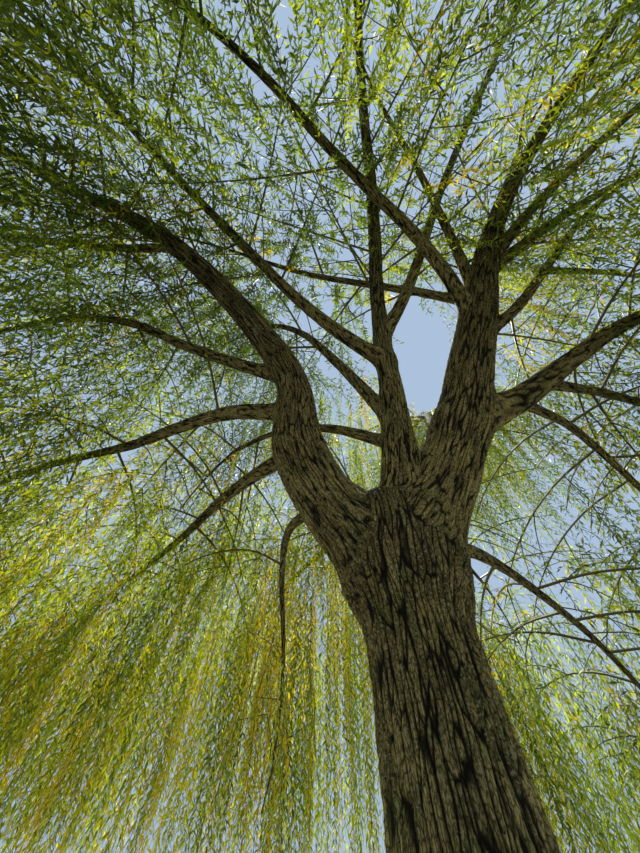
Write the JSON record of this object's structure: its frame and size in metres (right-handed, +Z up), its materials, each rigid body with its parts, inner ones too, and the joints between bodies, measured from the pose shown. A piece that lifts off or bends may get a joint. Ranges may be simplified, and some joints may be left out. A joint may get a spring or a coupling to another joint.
{
  "type": "weeping willow tree",
  "caption": "Weeping willow with a furrowed trunk, wide arching boughs and curtains of hanging green and golden foliage.",
  "frame": {"origin": "middle of the flat cut under the trunk, at ground level", "axes": "+Z up the trunk; the picture was taken from the -Y side, looking along +Y and up, with +X to its right"},
  "size_m": [17.5693, 17.9565, 11.4135],
  "materials": {
    "bark": "deeply furrowed grey-brown bark with olive lichen",
    "foliage_dark": "narrow dark green leaves, matt",
    "foliage_green": "narrow mid green leaves, lit through by the sun",
    "foliage_gold": "narrow yellow-green leaves turning gold"
  },
  "bodies": {
    "root": {"trunk": "bark", "left_bough": "bark", "right_bough": "bark", "middle_bough": "bark", "left_outer_bough": "bark", "left_level_bough": "bark", "left_low_bough": "bark", "left_back_bough": "bark", "hanging_bough": "bark", "left_inner_bough": "bark", "left_rising_bough": "bark", "left_front_bough": "bark", "front_right_bough": "bark", "crossing_bough": "bark", "upper_crossing_bough": "bark", "back_crossing_bough": "bark", "top_bough": "bark", "right_front_bough": "bark", "right_upper_bough": "bark", "right_rising_bough": "bark", "right_forked_bough": "bark", "right_side_bough": "bark", "right_level_bough": "bark", "right_drooping_bough": "bark", "low_right_bough": "bark", "back_bough": "bark", "back_left_bough": "bark", "back_right_bough": "bark", "back_rising_bough": "bark", "crown_bough": "bark", "left_foliage": "foliage_dark", "right_foliage": "foliage_green", "middle_foliage": "foliage_dark", "left_outer_foliage": "foliage_dark", "left_level_foliage": "foliage_green", "left_low_foliage": "foliage_gold", "left_back_foliage": "foliage_gold", "hanging_foliage": "foliage_gold", "left_inner_foliage": "foliage_green", "left_rising_foliage": "foliage_dark", "left_front_foliage": "foliage_dark", "front_right_foliage": "foliage_green", "crossing_foliage": "foliage_green", "upper_crossing_foliage": "foliage_green", "back_crossing_foliage": "foliage_dark", "top_foliage": "foliage_green", "right_front_foliage": "foliage_green", "right_upper_foliage": "foliage_green", "right_rising_foliage": "foliage_green", "right_forked_foliage": "foliage_green", "right_side_foliage": "foliage_green", "right_level_foliage": "foliage_green", "right_drooping_foliage": "foliage_green", "low_right_foliage": "foliage_green", "back_foliage": "foliage_gold", "back_left_foliage": "foliage_gold", "back_right_foliage": "foliage_green", "back_rising_foliage": "foliage_gold", "crown_foliage": "foliage_green"}
  },
  "joints": []
}
